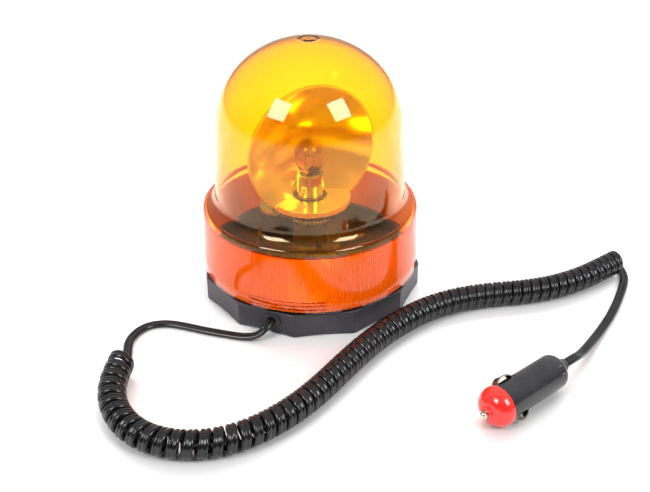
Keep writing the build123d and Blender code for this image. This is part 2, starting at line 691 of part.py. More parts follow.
COIL_ROUTE = [
    (-102.2, -90.4, coil_z),
    (-104.0, -103.9, coil_z),
    (-104.6, -118.7, coil_z),
    (-101.2, -133.5, coil_z),
    (-93.5, -147.0, coil_z),
    (-82.5, -157.0, coil_z),
    (-69.5, -162.3, coil_z),
    (-55.5, -163.5, coil_z),
    (-41.5, -160.6, coil_z),
    (-28.5, -154.2, coil_z),
    (-16.0, -144.8, coil_z),
    (-4.6, -133.6, coil_z),
    (7.2, -118.6, coil_z),
    (20.8, -98.8, coil_z),
    (35.8, -79.2, coil_z),
    (52.0, -62.8, coil_z),
    (70.0, -48.8, coil_z),
    (89.0, -39.8, coil_z),
    (108.0, -35.2, coil_z),
    (127.0, -33.0, coil_z),
    (147.0, -28.4, coil_z),
    (167.4, -19.1, coil_z),
    (186.0, -6.0, coil_z),
    (200.0, 4.6, coil_z),
]

plug_axis = Vector(cos(radians(PLUG_TURN)), sin(radians(PLUG_TURN)), 0)
plug_rear = Vector(PLUG_TIP[0], PLUG_TIP[1], PLUG_AXIS_Z) + plug_axis * PLUG_LENGTH

TAIL_ROUTE = [
    (198.6, -1.8, cord_z + 0.4),
    (198.2, -13.0, cord_z),
    (191.8, -29.0, cord_z),
    (180.5, -48.0, cord_z),
    (167.5, -66.5, cord_z),
    (156.4, -82.4, cord_z + 1.2),
    (148.2, -94.4, 6.8),
    tuple(plug_rear + plug_axis * 9.0),
    tuple(plug_rear),
]


# ---------------------------------------------------------------- plug
# Built along +X from the tip at the origin to the rear, then laid in its place.

plug_place = Pos(PLUG_TIP[0], PLUG_TIP[1], PLUG_AXIS_Z) * Rot(0, 0, PLUG_TURN)


def turned_x(points):
    """Solid of revolution about the plug's axis from (x, radius) points."""
    outline = make_face(Polyline(*[(x, r) for x, r in points], close=True))
    return revolve(outline, Axis.X)


def plug_shell():
    """Hollow body of the plug, before it is split into halves."""
    body = turned_x([(BODY_FRONT, 0), (BODY_FRONT, BODY_R), (BODY_REAR, BODY_R), (BODY_REAR, 0)])
    body = fillet(body.edges().group_by(Axis.X)[-1], 4.2)
    body += turned_x([(9.4, 0), (9.4, 7.0), (BODY_FRONT + 0.1, 7.0), (BODY_FRONT + 0.1, 0)])
    body -= turned_x([(9.0, 0), (9.0, 3.4), (12.5, 3.4), (12.5, 5.4), (BODY_FRONT + 2, 5.4),
                      (BODY_FRONT + 2, BODY_BORE_R), (BODY_REAR - 4, BODY_BORE_R), (BODY_REAR - 4, 3.2),
                      (BODY_REAR - 3.4, 3.2), (BODY_REAR - 3.4, 5.2), (BODY_REAR - 1.8, 5.2),
                      (BODY_REAR - 1.8, 3.2), (BODY_REAR + 1, 3.2), (BODY_REAR + 1, 0)])
    for side in (-1, 1):
        body -= Rot(CONTACT_ROLL, 0, 0) * Pos(22.5, side * BODY_R, 0) * Box(15.0, 6.0, 5.6)
    return body - plug_screw()


def plug_half(upper):
    keep = Pos(30, 0, 15 if upper else -15) * Box(80, 40, 30)
    return plug_shell() & (Rot(CONTACT_ROLL + 90, 0, 0) * keep)


def plug_nose_cap():
    """Domed ring cap with a short collar for the pin, over the body's front spigot."""
    dome = make_face([Line((2.6, 0), (2.6, 3.2)), Line((2.6, 3.2), (4.6, 3.5)),
                      ThreePointArc((4.6, 3.5), (7.1, 8.6), (11.6, NOSE_R)),
                      Line((11.6, NOSE_R), (13.6, NOSE_R)), Line((13.6, NOSE_R), (14.4, NOSE_R - 0.8)),
                      Line((14.4, NOSE_R - 0.8), (14.4, 0)), Line((14.4, 0), (2.6, 0))])
    cap = revolve(dome, Axis.X)
    cap -= turned_x([(9.2, 0), (9.2, 7.1), (14.4, 7.1), (14.4, 0)])
    return cap - turned_x([(2.0, 0), (2.0, 2.45), (9.3, 2.45), (9.3, 0)])


def plug_pin():
    """Centre contact: round tip, shank in the cap's collar, flange behind it."""
    tip = make_face([ThreePointArc((0, 0), (0.35, 1.2), (1.4, 1.9)), Line((1.4, 1.9), (1.7, 2.4)),
                     Line((1.7, 2.4), (12.6, 2.4)), Line((12.6, 2.4), (12.6, 0)), Line((12.6, 0), (0, 0))])
    flange = turned_x([(12.6, 0), (12.6, 4.6), (FUSE_FRONT, 4.6), (FUSE_FRONT, 0)])
    return revolve(tip, Axis.X) + flange


def plug_fuse():
    """Glass fuse, 5 by 20 mm, with two end caps; it slides with the pin in front of it."""
    cap = turned_x([(FUSE_FRONT, 0), (FUSE_FRONT, 2.6), (FUSE_FRONT + 5, 2.6), (FUSE_FRONT + 5, 0)])
    glass = turned_x([(FUSE_FRONT + 5, 0), (FUSE_FRONT + 5, 2.4), (FUSE_REAR - 5, 2.4), (FUSE_REAR - 5, 0)])
    return cap + glass + Pos(FUSE_REAR - FUSE_FRONT - 5, 0, 0) * cap


def pin_spring():
    """Wire spring between the fuse and the rear contact, which pushes fuse and pin forwards."""
    wire = 0.35
    coil = Helix(pitch=2.0, height=REAR_CONTACT - FUSE_REAR - 2 * wire - 0.1, radius=2.4)
    start = Plane(origin=coil @ 0, z_dir=coil % 0)
    return Pos(FUSE_REAR + wire + 0.05, 0, 0) * Rot(0, 90, 0) * sweep(start * Circle(wire), coil)


def rear_contact():
    """Folded plate behind the fuse, where the live core is soldered."""
    rear = REAR_CONTACT + 1.0
    plate = turned_x([(REAR_CONTACT, 0), (REAR_CONTACT, 3.6), (rear, 3.6), (rear, 0)])
    return plate + Pos(rear + 1.9, 0, 0) * Box(3.8, 3.0, 0.6)


def side_contact(side):
    """Bowed spring strip that stands out of its window, with a tail inside the body."""
    outer = make_face([ThreePointArc((15.6, 8.6), (21.6, 12.3), (28.6, 8.6)), Line((28.6, 8.6), (28.6, 7.9)),
                       ThreePointArc((28.6, 7.9), (21.6, 11.6), (15.6, 7.9)), Line((15.6, 7.9), (15.6, 8.6))])
    strip = extrude(outer, 2.2, both=True)
    turn = CONTACT_ROLL if side > 0 else CONTACT_ROLL + 180
    return Rot(turn, 0, 0) * strip


def plug_screw():
    """Countersunk screw that draws the two halves together."""
    head = Pos(0, 0, BODY_R - 1.6) * Cone(1.1, 2.4, 1.4, align=(Align.CENTER, Align.CENTER, Align.MIN))
    shank = disc(1.1, 2.5 - BODY_R, BODY_R - 1.6)
    return Pos(54.0, 0, 0) * Rot(CONTACT_ROLL - 90, 0, 0) * Rot(90, 0, 0) * (head + shank)


def plug_strain_relief():
    return turned_x([(BODY_REAR - 3.4, 0), (BODY_REAR - 3.4, 5.2), (BODY_REAR - 1.8, 5.2),
                     (BODY_REAR - 1.8, 3.2), (BODY_REAR, 3.2), (BODY_REAR, 4.2), (PLUG_LENGTH, 3.4),
                     (PLUG_LENGTH, 0)])


# ---------------------------------------------------------------- write every piece

def main():
    save(base_housing(), "base_housing")
    save(bottom_plate(), "bottom_plate")
    save(bottom_screws(), "bottom_screws")
    save(rubber_pad(), "rubber_pad")
    save(magnet_cup(), "magnet_cup")
    save(ring_magnet(), "ring_magnet")
    save(magnet_screws(), "magnet_screws")
    save(lens_gasket(), "lens_gasket")
    save(cable_grommet(), "cable_grommet")
    save(inner_cord(), "inner_cord")
    save(cord_clamp(), "cord_clamp")
    save(lens(), "lens")
    save(chassis(), "chassis")
    save(chassis_screws(), "chassis_screws")
    save(motor_bracket(), "motor_bracket")
    save(motor_screws(), "motor_screws")
    save(thrust_washer(), "thrust_washer")
    save(motor_can(), "motor_can")
    save(motor_end_cap(), "motor_end_cap")
    save(motor_terminals(), "motor_terminals")
    save(motor_magnets(), "motor_magnets")
    save(motor_armature(), "motor_armature")
    save(motor_shaft(), "motor_shaft")
    save(gear_wheel(), "gear_wheel")
    save(pinion(), "pinion")
    save(retaining_ring(), "retaining_ring")
    save(reflector(), "reflector")
    save(bulb_socket(), "bulb_socket")
    save(socket_base(), "socket_base")
    save(socket_spring(), "socket_spring")
    save(socket_contact(), "socket_contact")
    save(contact_washer(), "contact_washer")
    save(bulb_cap(), "bulb_cap")
    save(bulb_contact(), "bulb_contact")
    save(bulb_glass(), "bulb_glass")
    save(filament(), "filament")
    save(terminal_block(), "terminal_block")
    save(feed_wire(-1), "feed_wire_live")
    save(feed_wire(1), "feed_wire_earth")
    save(cord_tube("lead", LEAD_ROUTE, CORD_W), "cord_lead")
    save(cord_tube("coil", COIL_ROUTE, COIL_D), "cord_coil")
    save(cord_tube("tail", TAIL_ROUTE, CORD_W), "cord_tail")
    save(plug_place * plug_half(True), "plug_body_upper")
    save(plug_place * plug_half(False), "plug_body_lower")
    save(plug_place * plug_nose_cap(), "plug_nose_cap")
    save(plug_place * plug_pin(), "plug_pin")
    save(plug_place * plug_fuse(), "plug_fuse")
    save(plug_place * pin_spring(), "plug_spring")
    save(plug_place * rear_contact(), "plug_rear_contact")
    save(plug_place * side_contact(1), "side_contact_left")
    save(plug_place * side_contact(-1), "side_contact_right")
    save(plug_place * plug_screw(), "plug_screw")
    save(plug_place * plug_strain_relief(), "plug_strain_relief")


main()
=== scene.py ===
import json
from math import atan2, cos, degrees, pi, radians, sin

import bpy
import numpy as np
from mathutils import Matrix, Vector


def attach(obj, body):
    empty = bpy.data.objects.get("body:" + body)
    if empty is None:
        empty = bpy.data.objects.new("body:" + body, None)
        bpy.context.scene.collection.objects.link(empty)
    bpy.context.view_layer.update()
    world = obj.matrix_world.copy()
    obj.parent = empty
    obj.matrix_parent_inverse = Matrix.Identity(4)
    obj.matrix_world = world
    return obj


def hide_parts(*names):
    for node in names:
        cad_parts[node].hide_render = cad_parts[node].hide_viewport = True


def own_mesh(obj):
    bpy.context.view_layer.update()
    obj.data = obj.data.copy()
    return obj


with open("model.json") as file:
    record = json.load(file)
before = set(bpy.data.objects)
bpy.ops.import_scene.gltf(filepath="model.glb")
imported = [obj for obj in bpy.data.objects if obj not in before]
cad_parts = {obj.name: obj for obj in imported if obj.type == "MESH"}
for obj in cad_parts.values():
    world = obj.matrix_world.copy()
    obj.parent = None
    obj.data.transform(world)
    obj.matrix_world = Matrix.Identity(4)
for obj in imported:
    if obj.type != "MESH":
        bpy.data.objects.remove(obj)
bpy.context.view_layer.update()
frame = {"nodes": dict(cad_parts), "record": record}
nodes = frame["nodes"]
MM = 0.001


# ---------------------------------------------------------------- camera

CAMERA_PLACE = (0.0, -0.49018, 0.30944)
CAMERA_DOWN, CAMERA_RIGHT = 30.40, 1.06         # degrees below level and right of the Y axis


def make_camera():
    data = bpy.data.cameras.new("camera")
    data.lens = 50.0
    data.sensor_width = 36.0
    camera = bpy.data.objects.new("camera", data)
    camera.location = CAMERA_PLACE
    camera.rotation_euler = (radians(90.0 - CAMERA_DOWN), 0.0, radians(-CAMERA_RIGHT))
    bpy.context.scene.collection.objects.link(camera)
    bpy.context.scene.camera = camera


make_camera()


# ---------------------------------------------------------------- shader helpers

NOISE_LOW, NOISE_HIGH = 0.3, 0.7        # nearly all of a noise texture lies between these


class Nodes:
    """A material's node tree with short calls for what the materials below repeat."""

    def __init__(self, name):
        self.material = bpy.data.materials.new(name)
        self.material.use_nodes = True
        self.tree = self.material.node_tree
        self.shader = self.tree.nodes["Principled BSDF"]
        self.output = self.tree.nodes["Material Output"]
        self.place = self.add("ShaderNodeTexCoord").outputs["Object"]

    def add(self, kind, **values):
        node = self.tree.nodes.new(kind)
        for key, value in values.items():
            setattr(node, key, value)
        return node

    def link(self, source, target):
        self.tree.links.new(source, target)

    def set(self, **values):
        for key, value in values.items():
            self.shader.inputs[key.replace("_", " ")].default_value = value

    def noise(self, scale, detail=2.0, stretch=None):
        node = self.add("ShaderNodeTexNoise")
        node.inputs["Scale"].default_value = scale
        node.inputs["Detail"].default_value = detail
        place = self.place
        if stretch:
            mapping = self.add("ShaderNodeMapping")
            mapping.inputs["Scale"].default_value = stretch
            self.link(self.place, mapping.inputs["Vector"])
            place = mapping.outputs["Vector"]
        self.link(place, node.inputs["Vector"])
        return node.outputs["Fac"]

    def ramp(self, source, *stops):
        node = self.add("ShaderNodeValToRGB")
        elements = node.color_ramp.elements
        while len(elements) < len(stops):
            elements.new(0.5)
        for element, (position, colour) in zip(elements, stops):
            element.position = position
            element.color = (*colour, 1.0)
        self.link(source, node.inputs["Fac"])
        return node.outputs["Color"]

    def span(self, source, low, high):
        """source, from NOISE_LOW to NOISE_HIGH, spread between low and high."""
        node = self.add("ShaderNodeMapRange")
        node.inputs["From Min"].default_value = NOISE_LOW
        node.inputs["From Max"].default_value = NOISE_HIGH
        node.inputs["To Min"].default_value = low
        node.inputs["To Max"].default_value = high
        self.link(source, node.inputs["Value"])
        return node.outputs["Result"]

    def math(self, operation, *values):
        node = self.add("ShaderNodeMath", operation=operation)
        for socket, value in zip(node.inputs, values):
            if isinstance(value, (int, float)):
                socket.default_value = value
            else:
                self.link(value, socket)
        return node.outputs["Value"]

    def clouds(self, source, dark, light):
        """A noise texture turned into a colour between dark and light."""
        return self.ramp(source, (NOISE_LOW, dark), (NOISE_HIGH, light))

    def part(self, axis):
        """The piece's own coordinate along one axis."""
        node = self.add("ShaderNodeSeparateXYZ")
        self.link(self.place, node.inputs["Vector"])
        return node.outputs[axis]

    def radius(self):
        """Distance from the Z axis."""
        x, y = self.part("X"), self.part("Y")
        squares = [self.math("MULTIPLY", value, value) for value in (x, y)]
        return self.math("SQRT", self.math("ADD", *squares))

    def within(self, axis, low, high):
        """1 where the coordinate lies between low and high, 0 elsewhere."""
        value = self.part(axis)
        above, below = self.math("GREATER_THAN", value, low), self.math("LESS_THAN", value, high)
        return self.math("MULTIPLY", above, below)

    def bump(self, height, distance, strength):
        node = self.add("ShaderNodeBump")
        node.inputs["Distance"].default_value = distance
        node.inputs["Strength"].default_value = strength
        self.link(height, node.inputs["Height"])
        self.link(node.outputs["Normal"], self.shader.inputs["Normal"])


def mixed(colour, other, share):
    """colour, moved towards other by share."""
    return tuple(a + (b - a) * share for a, b in zip(colour, other))


# ---------------------------------------------------------------- mesh helpers

def piece(name, mesh, material, body):
    """A smooth shaded piece that moves with its body."""
    obj = bpy.data.objects.new(name, mesh)
    bpy.context.scene.collection.objects.link(obj)
    mesh.materials.append(material)
    for face in mesh.polygons:
        face.use_smooth = True
    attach(obj, body)
    return obj


def mesh_of(name, points, faces):
    mesh = bpy.data.meshes.new(name)
    mesh.from_pydata(points, [], faces)
    mesh.update()
    return mesh


def tube_mesh(name, centres, sideways, upwards, section):
    """A closed tube: section is a list of (across, up) offsets, carried along the centres."""
    count = len(section)
    points = []
    for centre, side, up in zip(centres, sideways, upwards):
        points += [centre + side * across + up * rise for across, rise in section]
    faces = [tuple(range(count))[::-1]]
    for ring in range(len(centres) - 1):
        for k in range(count):
            a, b = ring * count + k, ring * count + (k + 1) % count
            faces.append((a, b, b + count, a + count))
    last = (len(centres) - 1) * count
    faces.append(tuple(range(last, last + count)))
    return mesh_of(name, points, faces)


# ---------------------------------------------------------------- the lead

CORD_W, CORD_T = 5.4 * MM, 2.7 * MM     # flat twin: two cores side by side
CORE_POINTS, CORE_ARC = 10, 128         # points on each core's outline, and degrees to either side
GROOVE = 0.62                           # half thickness in the groove, as a share of a core's radius
COIL_R = 7.5 * MM
TURN_PITCH = 6.0 * MM
TURN_POINTS = 22                        # points on each turn
HELIX_R = COIL_R - CORD_T / 2
RUN_OUT = 11.0 * MM                     # length at each end of the curl where its pitch grows
RUN_OUT_PACE = 0.03                     # share of the full winding left at the very end
STEP = 0.8 * MM

# How tightly the wire is wound, against metres along the curl: the first turns are fanned apart.
WINDING = [(0.0, 0.80), (0.05, 0.86), (0.12, 0.93), (0.16, 1.0), (0.30, 1.04)]
WINDING_END = 0.98

# Control points of the lead in millimetres: base to curl, the curl's axis, curl to plug.
LEAD_ROUTE = [
    (-22.96, -62.84, 9.4), (-25.2, -67.2, 8.4), (-31.0, -69.6, 3.2), (-40.0, -67.6, 1.4),
    (-50.0, -64.6, 1.4), (-62.0, -61.0, 1.4), (-74.0, -56.2, 1.4), (-85.6, -53.0, 1.4),
    (-95.6, -55.2, 1.4), (-101.6, -62.0, 1.4), (-104.4, -71.0, 1.4), (-103.4, -80.6, 1.4),
    (-102.2, -90.4, 1.4)]
COIL_ROUTE = [
    (-102.2, -90.4, 7.5), (-104.0, -103.9, 7.5), (-104.6, -118.7, 7.5), (-101.2, -133.5, 7.5),
    (-93.5, -147.0, 7.5), (-82.5, -157.0, 7.5), (-69.5, -162.3, 7.5), (-55.5, -163.5, 7.5),
    (-41.5, -160.6, 7.5), (-28.5, -154.2, 7.5), (-16.0, -144.8, 7.5), (-4.6, -133.6, 7.5),
    (7.2, -118.6, 7.5), (20.8, -98.8, 7.5), (35.8, -79.2, 7.5), (52.0, -62.8, 7.5),
    (70.0, -48.8, 7.5), (89.0, -39.8, 7.5), (108.0, -35.2, 7.5), (127.0, -33.0, 7.5),
    (147.0, -28.4, 7.5), (167.4, -19.1, 7.5), (186.0, -6.0, 7.5), (200.0, 4.6, 7.5)]
TAIL_ROUTE = [
    (200.0, 4.6, 1.4), (200.4, -4.0, 1.4), (197.6, -14.0, 1.4), (190.4, -29.0, 1.4),
    (180.0, -48.0, 1.4), (167.5, -66.5, 1.8), (156.4, -82.4, 3.9), (148.2, -94.4, 6.8),
    (141.5, -103.1, 10.8), (134.45, -108.7, 10.8)]


def route_line(points):
    """The smooth line of a NURBS spline with these control points in millimetres, STEP apart."""
    curve = bpy.data.curves.new("route", "CURVE")
    curve.dimensions = "3D"
    spline = curve.splines.new("NURBS")
    spline.points.add(len(points) - 1)
    for point, (x, y, z) in zip(spline.points, points):
        point.co = (x * MM, y * MM, z * MM, 1.0)
    spline.order_u = 3
    spline.use_endpoint_u = True
    spline.resolution_u = 24
    holder = bpy.data.objects.new("route", curve)
    mesh = bpy.data.meshes.new_from_object(holder)
    line = np.array([v.co for v in mesh.vertices])
    bpy.data.meshes.remove(mesh)
    bpy.data.objects.remove(holder)
    return even(line, STEP)


def distances(line):
    """Distance along the line at each of its points."""
    steps = np.linalg.norm(np.diff(line, axis=0), axis=1)
    return np.concatenate([[0.0], np.cumsum(steps)])


def points_at(line, at):
    """The line's points at the distances at."""
    along = distances(line)
    return np.stack([np.interp(at, along, line[:, k]) for k in range(3)], axis=1)


def even(line, step):
    """The same line with its points about step apart."""
    length = distances(line)[-1]
    return points_at(line, np.linspace(0.0, length, int(length / step) + 2))


def unit(vectors):
    return vectors / np.linalg.norm(vectors, axis=1)[:, None]


def curl(axis_line):
    """The curly length: centres and outward directions of the wire wound round its axis line."""
    length = distances(axis_line)[-1]
    at = np.linspace(0.0, length, int(length / (TURN_PITCH / TURN_POINTS)))
    # The pitch is longer at both ends, where the wire runs out of the curl.
    from_end = np.minimum(at / RUN_OUT, (length - at) / RUN_OUT)
    pace = 2 * pi / TURN_PITCH * np.minimum(1.0, from_end + RUN_OUT_PACE)
    where, shares = zip(*WINDING, (length, WINDING_END))
    winding = np.interp(at, where, shares)
    angle = np.concatenate([[0.0], np.cumsum(pace[1:] * winding[1:] * np.diff(at))])
    turns = round(angle[-1] / (2 * pi))
    # Whole turns from below, so that both ends leave the curl at the floor.
    angle = angle * (2 * pi * turns / angle[-1]) - pi / 2
    centre = points_at(axis_line, at)
    forward = unit(np.gradient(centre, axis=0))
    side = unit(np.cross(forward, [0.0, 0.0, 1.0]))
    up = np.cross(side, forward)
    outward = side * np.cos(angle)[:, None] + up * np.sin(angle)[:, None]
    return centre + outward * HELIX_R, outward


def twin_section():
    """Outline of the flat twin cable: two round cores side by side with a groove between them."""
    half = CORD_T / 2
    angles = [radians(a) for a in np.linspace(-CORE_ARC, CORE_ARC, CORE_POINTS)]
    core = [(1.0 + cos(a), sin(a)) for a in angles]
    outline = core + [(0.0, GROOVE)] + [(-x, -y) for x, y in core] + [(0.0, -GROOVE)]
    return [(x * half, y * half) for x, y in outline]


def make_lead(material):
    """The whole visible lead as one wire, from the grommet to the plug."""
    lead, tail = route_line(LEAD_ROUTE), route_line(TAIL_ROUTE)
    wound, outward = curl(route_line(COIL_ROUTE))
    centres = np.concatenate([lead[:-1], wound, tail[1:]])
    # The cable's thin direction points down in the straight lengths and outwards in the curl.
    down = np.array([0.0, 0.0, -1.0])
    lead_thin, tail_thin = (np.tile(down, (len(line) - 1, 1)) for line in (lead, tail))
    thin = np.concatenate([lead_thin, outward, tail_thin])
    forward = unit(np.gradient(centres, axis=0))
    across = unit(np.cross(forward, thin))
    thin = np.cross(across, forward)
    mesh = tube_mesh("lead_wire", centres, across, thin, twin_section())
    wire = piece("lead_wire", mesh, material, "base")
    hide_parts("cord_lead", "cord_coil", "cord_tail")


def cord_pvc():
    """Glossy black cable sheath."""
    look = Nodes("cord_pvc")
    grain = look.noise(900.0, 3.0)
    black = look.clouds(look.noise(60.0), (0.004, 0.004, 0.005), (0.009, 0.009, 0.010))
    look.link(black, look.shader.inputs["Base Color"])
    look.link(look.span(grain, 0.14, 0.24), look.shader.inputs["Roughness"])
    look.set(Specular_IOR_Level=0.5)
    look.bump(grain, 0.00005, 0.3)
    return look.material


CORD = cord_pvc()
make_lead(CORD)


# ---------------------------------------------------------------- lens

# Millimetres; a pair is a radius and a height. The skirt leans in from its foot to its top, the
# rim rounds over to the flare, and the flare rises into the dome.
LENS_FOOT = (66.6, 15.6)
SKIRT_TOP = (65.25, 52.4)
RIM_MIDDLE = (64.6, 55.1)
RIM_INSET = 0.75                        # the rim's middle moves in by this share of the wall, each way
FLARE_CENTRE, FLARE_R, FLARE_START = (65.2, 64.0), 8.0, -106.7
DOME_R, DOME_SPRING, DOME_RISE, SHOULDER_R = 54.6, 105.6, 49.8, 47.0
CROWN_END = 89.2                        # degrees; the profile stops just short of the axis
SKIRT_POINTS, RIM_POINTS, FLARE_POINTS, DOME_POINTS, CROWN_POINTS = 5, 8, 14, 6, 16
WALL = 2.0
MARK_R = 7.0
# The round mark's rings: radius, and depth below the top.
MARK_DROPS = [(6.6, 0.35), (5.3, 0.25), (5.2, 0.47), (4.4, 0.45), (4.3, 0.18), (2.6, 0.03), (1.0, 0.0)]

FLUTES = 264
FLUTE_DEPTH = 0.76                      # a right-angled ridge, so that it throws light back
FLUTE_LEVELS = [50.4, 49.6, 36.0, 25.2, 24.4]   # heights of the fluted wall's rows above the lugs
LUG_TIP_R, LUG_T, LUG_LEVELS = 61.4, 0.8, (17.6, 19.6, 21.6)
LUG_WIDTH, LUG_CENTRES = 40.0, (-103.0, 17.0, 137.0)    # degrees
LUG_EDGE = 0.02                         # height over which the wall steps in to a lug
SEAT_R, SEAT_TOP = 63.5, 16.4           # the plain ring at the skirt's foot

# The flutes scatter light between these heights and inside this radius.
PRISM_LOW, PRISM_HIGH, PRISM_OUTER_R = 16.5, 50.3, 64.95
PRISM_SCATTER = 0.62
PRISM_COLOUR = (1.0, 0.54, 0.05)
AMBER, AMBER_DENSITY = (0.9990, 0.905, 0.03), 1800.0


def arc(centre, radius, start, end, count):
    """count points along an arc about centre, without its first."""
    angles = [radians(start + (end - start) * k / count) for k in range(1, count + 1)]
    return [(centre[0] + radius * cos(a), centre[1] + radius * sin(a)) for a in angles]


def straight(a, b, count):
    """count points evenly along the line from a to b, without a."""
    return [tuple(p + (q - p) * k / count for p, q in zip(a, b)) for k in range(1, count + 1)]


def through(a, b, c, count):
    """count points on the parabola from a through b to c, without a."""
    control = (2 * b[0] - (a[0] + c[0]) / 2, 2 * b[1] - (a[1] + c[1]) / 2)
    points = []
    for k in range(1, count + 1):
        t = k / count
        shares = ((1 - t) ** 2, 2 * t * (1 - t), t * t)
        points.append(tuple(sum(s * v for s, v in zip(shares, pqr)) for pqr in zip(a, control, c)))
    return points


def dome_profile(inset):
    """Points of the lens wall above its skirt, moved inwards by inset, ending near the axis."""
    radius = FLARE_R + inset
    top = (SKIRT_TOP[0] - inset, SKIRT_TOP[1] - inset)
    middle = (RIM_MIDDLE[0] - RIM_INSET * inset, RIM_MIDDLE[1] - RIM_INSET * inset)
    start = (FLARE_CENTRE[0] + radius * cos(radians(FLARE_START)),
             FLARE_CENTRE[1] + radius * sin(radians(FLARE_START)))
    points = [top] + through(top, middle, start, RIM_POINTS)
    points += arc(FLARE_CENTRE, radius, FLARE_START, -180.0, FLARE_POINTS)
    points += straight(points[-1], (DOME_R - inset, DOME_SPRING), DOME_POINTS)
    # The crown is one large arc that meets the two shoulder arcs without a corner.
    centre_r = DOME_R - SHOULDER_R
    crown_r = (centre_r ** 2 + DOME_RISE ** 2 - SHOULDER_R ** 2) / (2 * (DOME_RISE - SHOULDER_R))
    crown_z = DOME_SPRING + DOME_RISE - crown_r
    join = degrees(atan2(DOME_SPRING - crown_z, centre_r))
    points += arc((centre_r, DOME_SPRING), SHOULDER_R - inset, 0.0, join, CROWN_POINTS)
    return points + arc((0.0, crown_z), crown_r - inset, join, CROWN_END, CROWN_POINTS)


def crown_mark(points):
    """The outer crown with its shallow round moulding mark."""
    top = max(z for _, z in points)
    return [p for p in points if p[0] >= MARK_R] + [(r, top - drop) for r, drop in MARK_DROPS]


def skirt_wall(angle, z):
    """Inner radius of the skirt at a polar angle in degrees: flutes, and the lugs that lock the lens."""
    (foot_r, foot_z), (top_r, top_z) = LENS_FOOT, SKIRT_TOP
    wall = foot_r - WALL + (top_r - foot_r) * (z - foot_z) / (top_z - foot_z)
    half_step = LUG_EDGE / 2
    for middle in LUG_CENTRES:
        near = abs((angle - middle + 180.0) % 360.0 - 180.0) < LUG_WIDTH / 2
        if near and any(low - half_step <= z <= low + LUG_T + half_step for low in LUG_LEVELS):
            return LUG_TIP_R
    return wall - FLUTE_DEPTH * (round(angle * FLUTES / 180.0) % 2)


def lens_mesh():
    """The lens, and which of its faces belong to the flutes."""
    columns = FLUTES * 2
    outer = [LENS_FOOT] + straight(LENS_FOOT, SKIRT_TOP, SKIRT_POINTS)[:-1]
    outer += crown_mark(dome_profile(0.0))
    inner = dome_profile(WALL)
    heights = list(FLUTE_LEVELS)
    for low in reversed(LUG_LEVELS):
        heights += [low + LUG_T + LUG_EDGE, low + LUG_T, low, low - LUG_EDGE]
    heights += [SEAT_TOP + LUG_EDGE]
    seat = [(SEAT_R, SEAT_TOP), (SEAT_R, LENS_FOOT[1])]
    rows = len(outer) + len(inner) + len(heights) + len(seat)
    points = []
    for j in range(columns):
        angle = 360.0 * j / columns
        inside = [(skirt_wall(angle, z), z) for z in heights]
        profile = outer + inner[::-1] + inside + seat
        c, s = cos(radians(angle)), sin(radians(angle))
        points += [(r * MM * c, r * MM * s, z * MM) for r, z in profile]
    top_out, top_in = len(outer) - 1, len(outer)
    faces = []
    for j in range(columns):
        a, b = j * rows, (j + 1) % columns * rows
        for k in range(rows):
            after = (k + 1) % rows
            if k != top_out:
                faces.append((a + k, b + k, b + after, a + after))
    faces.append(tuple(j * rows + top_out for j in range(columns)))
    faces.append(tuple(j * rows + top_in for j in reversed(range(columns))))
    mesh = mesh_of("lens_moulding", points, faces)
    first = len(outer) + len(inner)
    fluted = {j * (rows - 1) + k - 1 for j in range(columns) for k in range(first, rows)}
    return mesh, fluted


def amber():
    """Clear amber moulding; the prisms inside its skirt scatter part of the light."""
    look = Nodes("amber_lens")
    look.set(Roughness=0.012, IOR=1.49, Specular_IOR_Level=0.35)
    prisms = look.within("Z", PRISM_LOW * MM, PRISM_HIGH * MM)
    prisms = look.math("MULTIPLY", prisms, look.math("LESS_THAN", look.radius(), PRISM_OUTER_R * MM))
    tint = look.ramp(prisms, (0.0, (1.0, 0.97, 0.90)), (1.0, PRISM_COLOUR))
    look.link(tint, look.shader.inputs["Base Color"])
    clearness = look.math("MULTIPLY_ADD", prisms, -PRISM_SCATTER, 1.0)
    look.link(clearness, look.shader.inputs["Transmission Weight"])
    look.bump(look.noise(260.0, 2.0), 0.00002, 0.35)
    volume = look.add("ShaderNodeVolumeAbsorption")
    volume.inputs["Color"].default_value = (*AMBER, 1.0)
    volume.inputs["Density"].default_value = AMBER_DENSITY
    look.link(volume.outputs["Volume"], look.output.inputs["Volume"])
    lamps_through(look, (1.0, 1.0, 1.0))
    return look.material


def lamps_through(look, colour):
    """Lets lamps shine through the wall, as light does through a thin clear moulding."""
    clear = look.add("ShaderNodeBsdfTransparent")
    clear.inputs["Color"].default_value = (*colour, 1.0)
    mix = look.add("ShaderNodeMixShader")
    look.link(look.add("ShaderNodeLightPath").outputs["Is Shadow Ray"], mix.inputs["Fac"])
    look.link(look.shader.outputs["BSDF"], mix.inputs[1])
    look.link(clear.outputs["BSDF"], mix.inputs[2])
    look.link(mix.outputs["Shader"], look.output.inputs["Surface"])


def make_lens():
    mesh, fluted = lens_mesh()
    lens = piece("lens_moulding", mesh, amber(), "lens")
    for index in fluted:
        mesh.polygons[index].use_smooth = False
    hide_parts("lens")


make_lens()


# ---------------------------------------------------------------- materials of the CAD pieces

def moulded(name, colour, rough, grain_scale=700.0, grain=0.00004, shade=0.25, coat=0.0):
    """Moulded plastic or rubber: a fine spark texture, faint cloudy shade and slightly uneven gloss."""
    look = Nodes(name)
    dark, light = mixed(colour, (0, 0, 0), shade), mixed(colour, (1, 1, 1), shade / 8)
    look.link(look.clouds(look.noise(35.0, 4.0), dark, light), look.shader.inputs["Base Color"])
    texture = look.noise(grain_scale, 3.0)
    look.link(look.span(texture, rough - 0.06, rough + 0.08), look.shader.inputs["Roughness"])
    look.set(Coat_Weight=coat, Coat_Roughness=0.05)
    look.bump(texture, grain, 0.5)
    return look.material


